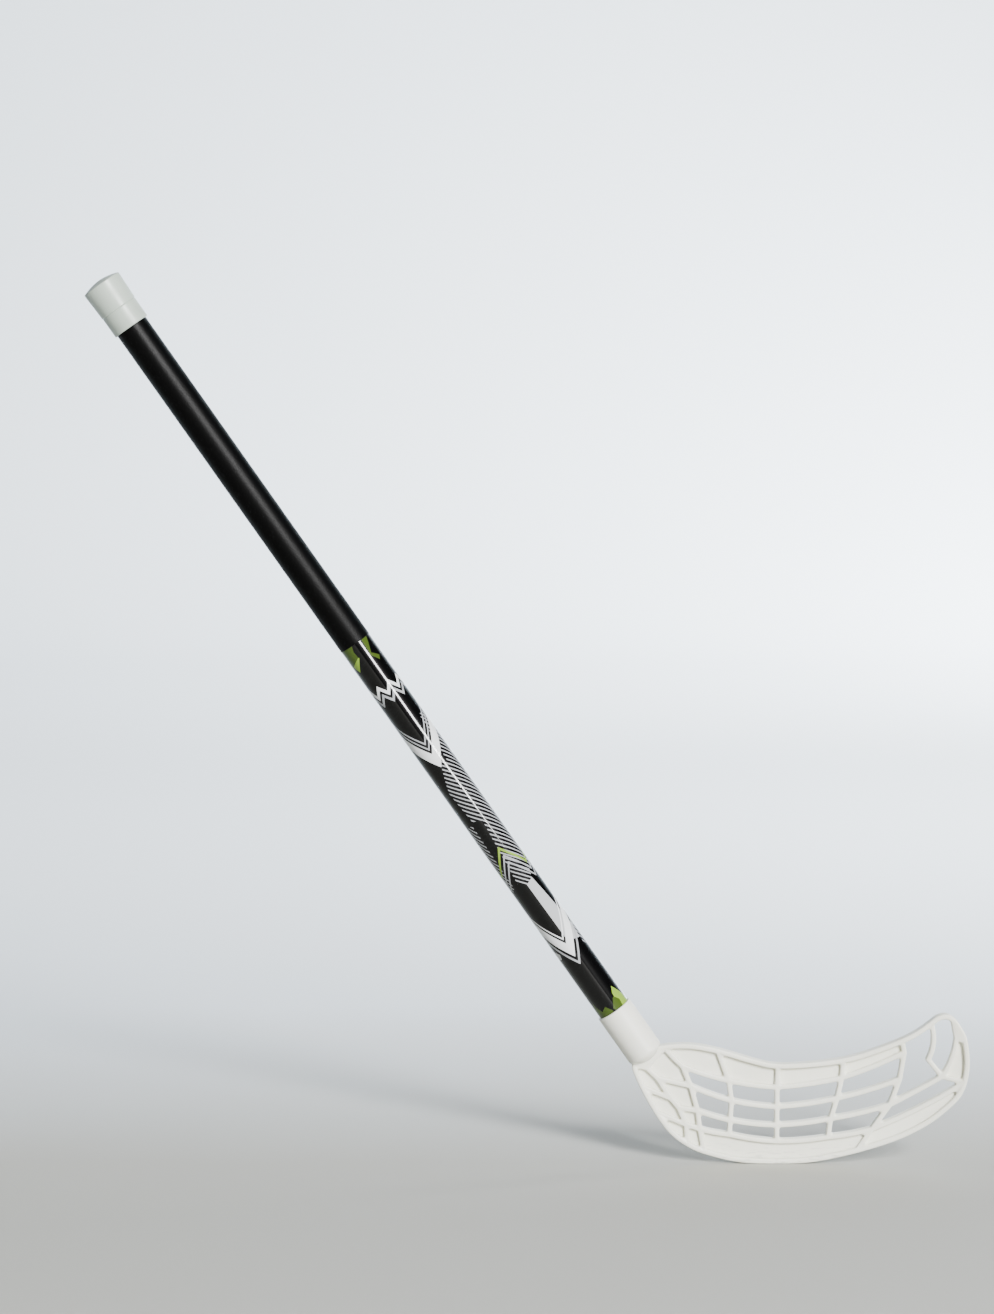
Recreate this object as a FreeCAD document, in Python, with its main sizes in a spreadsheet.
import FreeCAD, Part
import Sketcher
import math
import os
from types import SimpleNamespace

# Floorball stick: a ribbed plastic blade with a moulded socket, and a tube shaft with film, grip and end cap.
# It stands on its sole: +X runs to the toe, +Y to the back of the blade, +Z up, with its origin on the sole.
# Every length is in millimetres and every angle in degrees.
SIZES = {
    "shaft_lie": 55.0,
    "shaft_length": 700.0,
    "shaft_diameter": 24.4,
    "shaft_wall": 2.2,
    "film_thickness": 0.3,
    "grip_thickness": 0.5,
    "grip_length": 322.0,
    "socket_depth": 41.0,
    "socket_clearance": 0.1,
    "hosel_wall": 1.7,
    "hosel_floor": 6.0,
    "hosel_lip_bevel": 0.6,
    "cap_length": 41.5,
    "cap_end_wall": 6.0,
    "cap_crown_height": 2.0,
    "cap_crown_diameter": 18.0,
    "cap_end_diameter": 30.8,
    "cap_collar_diameter": 28.6,
    "cap_collar_length": 16.5,
    "cap_step": 0.25,
    "cap_rim_bevel": 0.7,
    "cap_clearance": 0.1,
    "blade_length": 253.0,
    "blade_height": 117.0,
    "hook_radius": 650.0,
    "hook_run": 148.0,
    "rail_depth": 10.0,
    "rail_width": 3.8,
    "rail_crest_width": 3.0,
    "rib_depth": 8.4,
    "rib_width": 3.6,
    "web_thickness": 1.8,
    "cell_corner_radius": 2.0,
    "screw_diameter": 3.4,
    "screw_length": 8.0,
    "screw_head_diameter": 6.0,
    "screw_head_height": 1.8,
    "screw_head_bevel": 0.8,
    "screw_clearance": 0.05,
    "screw_below_mouth": 20.0,
    "spot_face_depth": 0.45,
    "spot_face_clearance": 0.3,
    "cut_overrun": 5.0,
}

# The sole's flat, where the origin lies, as a share of the blade's length from the heel
SOLE_SHARE = 0.435
# The middle of the socket's floor
SOCKET_FLOOR_SHARE = (0.0415, 0.718)

# Places round the blade's edge, anticlockwise from the heel, as shares of the blade's length and height
EDGE_SHARES = {
    "heel_in_hosel": (0.012, 0.700),
    "heel_root": (0.0, 0.646),
    "heel_step": (0.027, 0.490),
    "heel_low": (0.072, 0.316),
    "heel_turn": (0.117, 0.186),
    "sole_at_brace": (0.166, 0.111),
    "sole_at_heel_rib": (0.209, 0.067),
    "sole_heelward": (0.304, 0.013),
    "flat_heel": (0.365, 0.0),
    "flat_toe": (0.505, 0.0),
    "sole_toeward": (0.578, 0.025),
    "sole_at_toe_rib": (0.672, 0.075),
    "sole_rise": (0.790, 0.162),
    "sole_lift": (0.881, 0.269),
    "sole_turn": (0.946, 0.393),
    "toe_corner": (0.974, 0.463),
    "toe_low": (0.991, 0.549),
    "toe_middle": (1.0, 0.680),
    "toe_fork": (0.991, 0.840),
    "toe_shoulder": (0.979, 0.895),
    "tip_front": (0.954, 0.975),
    "tip": (0.928, 1.0),
    "tip_back": (0.899, 0.980),
    "crest_at_tip_rib": (0.884, 0.949),
    "crest_rise": (0.843, 0.879),
    "crest_at_toe_rib": (0.805, 0.831),
    "crest_slope": (0.711, 0.745),
    "crest_at_third_rib": (0.631, 0.690),
    "crest_low": (0.531, 0.660),
    "crest_at_second_rib": (0.431, 0.648),
    "crest_dip": (0.373, 0.676),
    "crest_at_first_rib": (0.255, 0.755),
    "crest_heel": (0.173, 0.787),
    "crest_at_heel_rib": (0.091, 0.777),
    "crest_in_hosel": (0.051, 0.812),
}
# The cross ribs of the open lattice: their crossings with the long ribs, from the sole rail upwards
CROSS_RIB_SHARES = {
    "heel_rib": ((0.205, 0.225), (0.198, 0.345), (0.177, 0.506), (0.153, 0.634)),
    "first_rib": ((0.293, 0.189), (0.295, 0.283), (0.299, 0.410), (0.290, 0.540)),
    "second_rib": ((0.434, 0.145), (0.434, 0.251), (0.434, 0.371), (0.434, 0.498)),
    "third_rib": ((0.586, 0.175), (0.593, 0.296), (0.612, 0.430), (0.625, 0.563)),
    "toe_rib": ((0.715, 0.232), (0.767, 0.395), (0.795, 0.562), (0.808, 0.738)),
}
# The bends and crossings of the heel brace, of the ribs at the toe and of the long ribs beyond the lattice
KNOT_SHARES = {
    "heel_rib_bend": (0.123, 0.696),
    "brace_root": (0.046, 0.625),
    "brace_at_middle_rib": (0.079, 0.556),
    "brace_at_step": (0.118, 0.426),
    "brace_at_low_rib": (0.142, 0.364),
    "brace_foot": (0.164, 0.254),
    "sole_rail_rise": (0.811, 0.331),
    "sole_rail_toe": (0.899, 0.437),
    "low_rib_toe": (0.845, 0.491),
    "toe_knot": (0.918, 0.588),
    "tip_rib_high": (0.897, 0.845),
    "tip_rib_bend": (0.879, 0.716),
    "toe_bow_high": (0.955, 0.845),
    "toe_bow_low": (0.947, 0.735),
}
# How far a long rib sags between two cross ribs, as a share of that run
RIB_SAG_SHARE = 0.05
# The longest stretch of a side that one rounded corner may take, as a share of the side
CORNER_ROOM_SHARE = 0.45
# A corner that turns less than this share of a straight angle is a bend of a flowing line
BEND_SHARE = 0.22
# How many straight cuts stand for the round in a corner of a window and of a pocket
WINDOW_CUTS = 2
POCKET_CUTS = 1

SOLE_RAIL, LOW_RIB, MIDDLE_RIB, HIGH_RIB = range(4)

doc = FreeCAD.newDocument("floorball_stick")
sheet = doc.addObject("Spreadsheet::Sheet", "sizes")
for row, (alias, value) in enumerate(SIZES.items(), start=1):
    sheet.set(f"A{row}", alias)
    sheet.set(f"B{row}", str(value))
    sheet.setAlias(f"B{row}", alias)
doc.recompute()
size = SimpleNamespace(**{alias: float(sheet.get(alias)) for alias in SIZES})

QUARTER_TURN = 90
X_AXIS = FreeCAD.Vector(1, 0, 0)
Y_AXIS = FreeCAD.Vector(0, 1, 0)
Z_AXIS = FreeCAD.Vector(0, 0, 1)


# Bodies turned about an axis


def origin_plane(body, role):
    """The body's own origin plane with the given role."""
    return next(plane for plane in body.Origin.OriginFeatures if plane.Role == role)


def on_plane(body, role, name):
    """An empty sketch on one of the body's origin planes."""
    sketch = body.newObject("Sketcher::SketchObject", name)
    sketch.AttachmentSupport = [(origin_plane(body, role), "")]
    sketch.MapMode = "FlatFace"
    return sketch


def foot_arc(crown, rim):
    """The arc centred on the axis from the lowest point of a domed foot out to its rim."""
    rise = rim.y - crown.y
    radius = (rim.x ** 2 + rise ** 2) / (2 * rise)
    lean = math.asin(rim.x / radius)
    circle = Part.Circle(FreeCAD.Vector(0, crown.y + radius, 0), Z_AXIS, radius)
    return Part.ArcOfCircle(circle, -math.pi / 2, lean - math.pi / 2)


def turned_body(name, profile, domed_foot=False):
    """A body turned about its Z axis; profile lists (radius, height) expressions, anticlockwise.

    Its sides are straight, but with domed_foot the first side is an arc from the axis out to the rim.
    """
    body = doc.addObject("PartDesign::Body", name)
    sketch = on_plane(body, "XZ_Plane", f"{name}_profile")
    count = len(profile)
    corners = []
    for radius, height in profile:
        corners.append(FreeCAD.Vector(sketch.evalExpression(radius), sketch.evalExpression(height), 0))
    for index, start in enumerate(corners):
        end = corners[(index + 1) % count]
        side = foot_arc(start, end) if domed_foot and index == 0 else Part.LineSegment(start, end)
        sketch.addGeometry(side, False)
    for index, (radius, height) in enumerate(profile):
        sketch.addConstraint(Sketcher.Constraint("Coincident", index, 2, (index + 1) % count, 1))
        for direction, expression in (("DistanceX", radius), ("DistanceY", height)):
            value = float(sketch.evalExpression(expression))
            number = sketch.addConstraint(Sketcher.Constraint(direction, -1, 1, index, 1, value))
            sketch.setExpression(f"Constraints[{number}]", expression)
    if domed_foot:
        sketch.addConstraint(Sketcher.Constraint("PointOnObject", 0, 3, -2))
    turn = body.newObject("PartDesign::Revolution", f"{name}_turn")
    turn.Profile = sketch
    turn.ReferenceAxis = (sketch, ["V_Axis"])
    doc.recompute()
    return body


# Lines and places on the blade


def blade_point(shares):
    """The place on the blade's middle plane at a share of its length and a share of its height."""
    length_share, height_share = shares
    along = (length_share - SOLE_SHARE) * size.blade_length
    return FreeCAD.Vector(along, 0, height_share * size.blade_height)


EDGE = {name: blade_point(shares) for name, shares in EDGE_SHARES.items()}
KNOT = {name: blade_point(shares) for name, shares in KNOT_SHARES.items()}
CROSSING = {name: [blade_point(shares) for shares in rows] for name, rows in CROSS_RIB_SHARES.items()}
CROSS_RIBS = list(CROSSING)


def edge_between(first, last):
    """The places along the blade's edge from one name to another, both included."""
    names = list(EDGE)
    return [EDGE[name] for name in names[names.index(first):names.index(last) + 1]]


def long_run(row, left, right):
    """A long rib from one cross rib to the next, with its sag at mid-run."""
    start = CROSSING[left][row]
    end = CROSSING[right][row]
    sag = Z_AXIS * (RIB_SAG_SHARE * (end - start).Length)
    return [start, (start + end) / 2 - sag, end]


def rib(*places):
    """The sides along a rib's middle line, each as its start and the margin the rib takes of the cell."""
    return [(place, size.rib_width / 2) for place in places[:-1]]


def rail(*places):
    """The sides along the blade's edge, each as its start and the margin the rail takes of the cell."""
    return [(place, size.rail_width) for place in places[:-1]]


def inset(sides):
    """The corners of an anticlockwise outline with each side moved inwards by its own margin."""
    corners = []
    count = len(sides)
    for index, (place, margin) in enumerate(sides):
        before, margin_before = sides[index - 1]
        after = sides[(index + 1) % count][0]
        along_before = (place - before).normalize()
        along = (after - place).normalize()
        inward_before = along_before.cross(Y_AXIS)
        inward = along.cross(Y_AXIS)
        slide = margin - margin_before * inward_before.dot(inward)
        turn = along_before.dot(inward)
        step = slide / turn if abs(turn) > Part.Precision.confusion() else 0
        corners.append(place + inward_before * margin_before + along_before * step)
    return corners


def softened_face(corners, cuts=None):
    """A flat face with its corners rounded, tightly at a true corner and long at a bend.

    With cuts given, so many straight cuts stand for each round, to keep a cell's walls on the hook light.
    """
    edges = []
    turns = []
    count = len(corners)
    for index, corner in enumerate(corners):
        back = corners[index - 1] - corner
        ahead = corners[(index + 1) % count] - corner
        trim = CORNER_ROOM_SHARE * min(back.Length, ahead.Length)
        turn = math.pi - back.getAngle(ahead)
        if turn > BEND_SHARE * math.pi:
            trim = min(trim, size.cell_corner_radius * math.tan(turn / 2))
        back.normalize()
        ahead.normalize()
        middle = corner + (back + ahead).normalize() * (trim * math.tan(turn / 4))
        turns.append((corner + back * trim, middle, corner + ahead * trim))
    for index, (start, middle, end) in enumerate(turns):
        arc = Part.Arc(start, middle, end).toShape()
        edges += [arc] if cuts is None else Part.makePolygon(arc.discretize(cuts + 1)).Edges
        edges.append(Part.makeLine(end, turns[(index + 1) % count][0]))
    return Part.Face(Part.Wire(edges))


def through_blade(corners, cuts=None):
    """A prism over a softened outline, deep enough to pass through the hooked blade from front to back."""
    reach = size.hook_run + size.rail_depth + size.cut_overrun
    return softened_face(corners, cuts).translate(Y_AXIS * -reach).extrude(Y_AXIS * (2 * reach))


def shape_object(name, shape):
    """A document object that holds a shape worked out from the sheet."""
    feature = doc.addObject("Part::Feature", name)
    feature.Shape = shape
    return feature


def boolean(kind, name, base, tool):
    """A cut, fuse or common of two document objects."""
    result = doc.addObject(f"Part::{kind}", name)
    result.Base = base
    result.Tool = tool
    doc.recompute()
    return result


# The hooked wall: straight from the heel, then an arc towards the front


def hooked_wall(name, depth_alias):
    """A wall of one depth, as high as the blade, that follows the hook."""
    toe = size.blade_length * (1 - SOLE_SHARE)
    heel = -size.blade_length * SOLE_SHARE
    bend = toe - size.hook_run
    straight = doc.addObject("Part::Box", f"{name}_straight")
    straight.setExpression("Length", "sizes.blade_length - sizes.hook_run + sizes.cut_overrun")
    straight.setExpression("Width", f"sizes.{depth_alias}")
    straight.setExpression("Height", "sizes.blade_height + 2 * sizes.cut_overrun")
    straight.Placement.Base = FreeCAD.Vector(
        heel - size.cut_overrun, -getattr(size, depth_alias) / 2, -size.cut_overrun
    )
    discs = []
    for face, sign in (("back", "+"), ("front", "-")):
        disc = doc.addObject("Part::Cylinder", f"{name}_{face}")
        disc.setExpression("Radius", f"sizes.hook_radius {sign} sizes.{depth_alias} / 2")
        disc.setExpression("Height", "sizes.blade_height + 2 * sizes.cut_overrun")
        disc.setExpression("Angle", "asin((sizes.hook_run + 2 * sizes.cut_overrun) / sizes.hook_radius)")
        doc.recompute()
        centre = FreeCAD.Vector(bend, -size.hook_radius, -size.cut_overrun)
        disc.Placement = FreeCAD.Placement(centre, FreeCAD.Rotation(Z_AXIS, QUARTER_TURN - disc.Angle.Value))
        discs.append(disc)
    hook = boolean("Cut", f"{name}_hook", *discs)
    return boolean("Fuse", name, straight, hook)


# The cells of the lattice


def open_cells():
    """The see-through windows: the lattice between the cross ribs, and three at the toe."""
    cells = []
    for left, right in zip(CROSS_RIBS, CROSS_RIBS[1:]):
        for row in (SOLE_RAIL, LOW_RIB, MIDDLE_RIB):
            below = long_run(row, left, right)
            above = long_run(row + 1, left, right)
            cells.append(rib(*below, *reversed(above), below[0]))
    toe_rib = CROSSING["toe_rib"]
    tip_rib = [EDGE["crest_at_tip_rib"], KNOT["tip_rib_high"], KNOT["tip_rib_bend"], KNOT["toe_knot"]]
    bow = [KNOT["toe_knot"], KNOT["toe_bow_low"], KNOT["toe_bow_high"], EDGE["tip_front"]]
    cells.append(
        rib(toe_rib[LOW_RIB], KNOT["low_rib_toe"], *reversed(tip_rib))
        + rail(*edge_between("crest_at_tip_rib", "crest_at_toe_rib"))
        + rib(EDGE["crest_at_toe_rib"], toe_rib[HIGH_RIB], toe_rib[MIDDLE_RIB], toe_rib[LOW_RIB])
    )
    cells.append(
        rib(toe_rib[SOLE_RAIL], KNOT["sole_rail_rise"], KNOT["sole_rail_toe"], EDGE["toe_low"])
        + rib(EDGE["toe_low"], KNOT["toe_knot"], KNOT["low_rib_toe"], toe_rib[LOW_RIB], toe_rib[SOLE_RAIL])
    )
    cells.append(rib(*bow) + rail(*edge_between("tip_front", "crest_at_tip_rib")) + rib(*tip_rib))
    return cells


def filled_cells():
    """The pockets closed by a web: the top row, the sole band, the heel and the toe's edge."""
    cells = []
    for left, right in zip(CROSS_RIBS, CROSS_RIBS[1:]):
        below = long_run(HIGH_RIB, left, right)
        crest = edge_between(f"crest_at_{right}", f"crest_at_{left}")
        bends = [KNOT["heel_rib_bend"]] if left == "heel_rib" else []
        cells.append(rib(*below, crest[0]) + rail(*crest) + rib(crest[-1], *bends, below[0]))
    sole_rail = [CROSSING["heel_rib"][SOLE_RAIL]]
    for left, right in zip(CROSS_RIBS, CROSS_RIBS[1:]):
        sole_rail += long_run(SOLE_RAIL, left, right)[1:]
    cells.append(
        rail(*edge_between("sole_at_heel_rib", "sole_at_toe_rib"))
        + rib(EDGE["sole_at_toe_rib"], *reversed(sole_rail), EDGE["sole_at_heel_rib"])
    )
    toe_rail = [EDGE["toe_low"], KNOT["sole_rail_toe"], KNOT["sole_rail_rise"], sole_rail[-1]]
    cells.append(
        rail(*edge_between("sole_at_toe_rib", "toe_low")) + rib(*toe_rail, EDGE["sole_at_toe_rib"])
    )
    cells.append(
        rail(*edge_between("toe_low", "toe_fork"))
        + rib(EDGE["toe_fork"], KNOT["toe_bow_high"], KNOT["toe_bow_low"], KNOT["toe_knot"], EDGE["toe_low"])
    )
    return cells + heel_cells()


def heel_cells():
    """The pockets between the heel's edge, the brace and the heel rib."""
    sole, low, middle, high = CROSSING["heel_rib"]
    root = KNOT["brace_root"]
    brace_middle = KNOT["brace_at_middle_rib"]
    brace_step = KNOT["brace_at_step"]
    brace_low = KNOT["brace_at_low_rib"]
    foot = KNOT["brace_foot"]
    step = EDGE["heel_step"]
    heel_low = EDGE["heel_low"]
    sole_at_brace = EDGE["sole_at_brace"]
    sole_at_rib = EDGE["sole_at_heel_rib"]
    return [
        rib(brace_middle, middle, high, KNOT["heel_rib_bend"], EDGE["crest_at_heel_rib"], root, brace_middle),
        rib(brace_low, low, middle, brace_middle, brace_step, brace_low),
        rib(foot, sole, low, brace_low, foot),
        rib(step, brace_step, brace_middle, root, EDGE["heel_root"]) + rail(EDGE["heel_root"], step),
        rail(step, heel_low) + rib(heel_low, foot, brace_low, brace_step, step),
        rail(*edge_between("heel_low", "sole_at_brace")) + rib(sole_at_brace, foot, heel_low),
        rail(sole_at_brace, sole_at_rib) + rib(sole_at_rib, sole, foot, sole_at_brace),
    ]


def cell_prisms(cells, cuts):
    """One prism through the blade for every cell."""
    return Part.Compound([through_blade(inset(sides), cuts) for sides in cells])


# The shaft's own frame: its origin is the middle of the socket's floor and its Z axis runs up the shaft
shaft_place = FreeCAD.Placement(
    blade_point(SOCKET_FLOOR_SHARE), FreeCAD.Rotation(Y_AXIS, size.shaft_lie - QUARTER_TURN)
)
hosel_radius = size.shaft_diameter / 2 + size.socket_clearance + size.hosel_wall
screw_height = size.socket_depth - size.screw_below_mouth
screw_seat = FreeCAD.Vector(0, hosel_radius - size.spot_face_depth, screw_height)
screw_place = shaft_place.multiply(FreeCAD.Placement(screw_seat, FreeCAD.Rotation(X_AXIS, -QUARTER_TURN)))


def make_hosel():
    """The round boss of the blade that the shaft stands in, solid as yet."""
    radius = "sizes.shaft_diameter / 2 + sizes.socket_clearance + sizes.hosel_wall"
    mouth = "sizes.socket_depth"
    hosel = turned_body(
        "hosel",
        [("0", "-sizes.hosel_floor"), (radius, "0"), (radius, f"{mouth} - sizes.hosel_lip_bevel"),
         (f"{radius} - sizes.hosel_lip_bevel", mouth), ("0", mouth)],
        domed_foot=True,
    )
    hosel.Placement = shaft_place
    return hosel


def drill(name, radius, height, place):
    """A cylinder to cut with, given by expressions for its radius and height."""
    cylinder = doc.addObject("Part::Cylinder", name)
    cylinder.setExpression("Radius", radius)
    cylinder.setExpression("Height", height)
    cylinder.Placement = place
    return cylinder


def make_bores():
    """What is bored out of the hosel: the socket, and the hole and the flat seat for the screw."""
    socket = drill(
        "socket", "sizes.shaft_diameter / 2 + sizes.socket_clearance",
        "sizes.socket_depth + sizes.cut_overrun", shaft_place,
    )
    hole_foot = FreeCAD.Placement(Z_AXIS * -(size.hosel_wall + size.cut_overrun), FreeCAD.Rotation())
    screw_hole = drill(
        "screw_hole", "sizes.screw_diameter / 2 + sizes.screw_clearance",
        "sizes.hosel_wall + 2 * sizes.cut_overrun", screw_place.multiply(hole_foot),
    )
    spot_face = drill(
        "spot_face", "sizes.screw_head_diameter / 2 + sizes.spot_face_clearance",
        "sizes.cut_overrun", screw_place,
    )
    return boolean("Fuse", "bores", socket, boolean("Fuse", "screw_bores", screw_hole, spot_face))


def make_blade():
    """The blade: a hooked wall cut to its outline, thinned to the ribs, pierced, pocketed, with the hosel."""
    outline = [(place, 0) for place in EDGE.values()]
    crest_line = [(place, size.rail_crest_width) for place in EDGE.values()]
    blank = boolean(
        "Common", "blade_blank", hooked_wall("rail_wall", "rail_depth"),
        shape_object("blade_outline", through_blade(inset(outline))),
    )
    relief = boolean(
        "Cut", "rib_relief", shape_object("rib_field", through_blade(inset(crest_line))),
        hooked_wall("rib_wall", "rib_depth"),
    )
    pockets = boolean(
        "Cut", "pockets", shape_object("filled_cells", cell_prisms(filled_cells(), POCKET_CUTS)),
        hooked_wall("web_wall", "web_thickness"),
    )
    windows = shape_object("open_cells", cell_prisms(open_cells(), WINDOW_CUTS))
    lattice = boolean("Cut", "blade_relieved", blank, relief)
    lattice = boolean("Cut", "blade_pierced", lattice, windows)
    lattice = boolean("Cut", "blade_pocketed", lattice, pockets)
    moulding = boolean("Fuse", "blade_with_hosel", lattice, make_hosel())
    return boolean("Cut", "blade", moulding, make_bores())


def make_shaft_tube():
    """The shaft's tube, with the hole that the screw bites into."""
    outer = "sizes.shaft_diameter / 2"
    inner = "sizes.shaft_diameter / 2 - sizes.shaft_wall"
    top = "sizes.shaft_length"
    tube = turned_body("shaft_tube", [(inner, "0"), (outer, "0"), (outer, top), (inner, top)])
    sketch = on_plane(tube, "XZ_Plane", "pilot_hole_sketch")
    pilot_radius = size.screw_diameter / 2 + size.screw_clearance
    sketch.addGeometry(Part.Circle(FreeCAD.Vector(0, screw_height, 0), Z_AXIS, pilot_radius), False)
    sketch.addConstraint(Sketcher.Constraint("PointOnObject", 0, 3, -2))
    height = sketch.addConstraint(Sketcher.Constraint("DistanceY", -1, 1, 0, 3, screw_height))
    sketch.setExpression(f"Constraints[{height}]", "sizes.socket_depth - sizes.screw_below_mouth")
    radius = sketch.addConstraint(Sketcher.Constraint("Radius", 0, pilot_radius))
    sketch.setExpression(f"Constraints[{radius}]", "sizes.screw_diameter / 2 + sizes.screw_clearance")
    solid_volume = tube.Shape.Volume
    pocket = tube.newObject("PartDesign::Pocket", "pilot_hole")
    pocket.Profile = sketch
    pocket.setExpression("Length", "sizes.shaft_diameter")
    doc.recompute()
    if tube.Shape.Volume >= solid_volume:
        raise ValueError("the pilot hole cuts nothing")
    tube.Placement = shaft_place
    return tube


def make_sleeve(name, thickness, bottom, top):
    """A sleeve on the shaft between two heights."""
    inner = "sizes.shaft_diameter / 2"
    outer = f"sizes.shaft_diameter / 2 + sizes.{thickness}"
    sleeve = turned_body(name, [(inner, bottom), (outer, bottom), (outer, top), (inner, top)])
    sleeve.Placement = shaft_place
    return sleeve


def make_end_cap():
    """The cap over the shaft's top end: a plain collar, a small step and a flared knob with a crowned end."""
    mouth = "sizes.shaft_length + sizes.cap_end_wall - sizes.cap_length"
    step = f"{mouth} + sizes.cap_collar_length"
    end = f"{mouth} + sizes.cap_length"
    rim = f"{end} - sizes.cap_crown_height"
    bore = "sizes.shaft_diameter / 2 + sizes.grip_thickness + sizes.cap_clearance"
    cap = turned_body(
        "end_cap",
        [("0", "sizes.shaft_length"), (bore, "sizes.shaft_length"), (bore, mouth),
         ("sizes.cap_collar_diameter / 2", mouth), ("sizes.cap_collar_diameter / 2", step),
         ("sizes.cap_collar_diameter / 2 + sizes.cap_step", step),
         ("sizes.cap_end_diameter / 2", f"{rim} - sizes.cap_rim_bevel"),
         ("sizes.cap_end_diameter / 2 - sizes.cap_rim_bevel", rim),
         ("sizes.cap_crown_diameter / 2", end), ("0", end)],
    )
    cap.Placement = shaft_place
    return cap


def make_blade_screw():
    """The screw that holds the blade: its bevelled head seats at height zero and its shank points down."""
    shank = "sizes.screw_diameter / 2"
    head = "sizes.screw_head_diameter / 2"
    top = "sizes.screw_head_height"
    screw = turned_body(
        "blade_screw",
        [("0", "-sizes.screw_length"), (shank, "-sizes.screw_length"), (shank, "0"), (head, "0"),
         (head, f"{top} - sizes.screw_head_bevel"), (f"{head} - sizes.screw_head_bevel", top), ("0", top)],
    )
    screw.Placement = screw_place
    return screw


grip_foot = "sizes.shaft_length - sizes.grip_length"
subparts = [
    make_blade(),
    make_shaft_tube(),
    make_sleeve("print_sleeve", "film_thickness", "sizes.socket_depth", grip_foot),
    make_sleeve("grip_sleeve", "grip_thickness", grip_foot, "sizes.shaft_length"),
    make_end_cap(),
    make_blade_screw(),
]
doc.recompute()

for item in doc.Objects:
    if "Invalid" in item.State or "Error" in item.State:
        raise ValueError(f"{item.Label} failed: {item.State}")
os.makedirs("parts", exist_ok=True)
for subpart in subparts:
    if subpart.Shape.isNull() or not subpart.Shape.isValid():
        raise ValueError(f"{subpart.Label} has no valid shape")
for subpart in subparts:
    subpart.Shape.exportStep(f"parts/{subpart.Label}.step")
    print(f"{subpart.Label}: {len(subpart.Shape.Solids)} solid, {subpart.Shape.Volume:.0f} mm3")
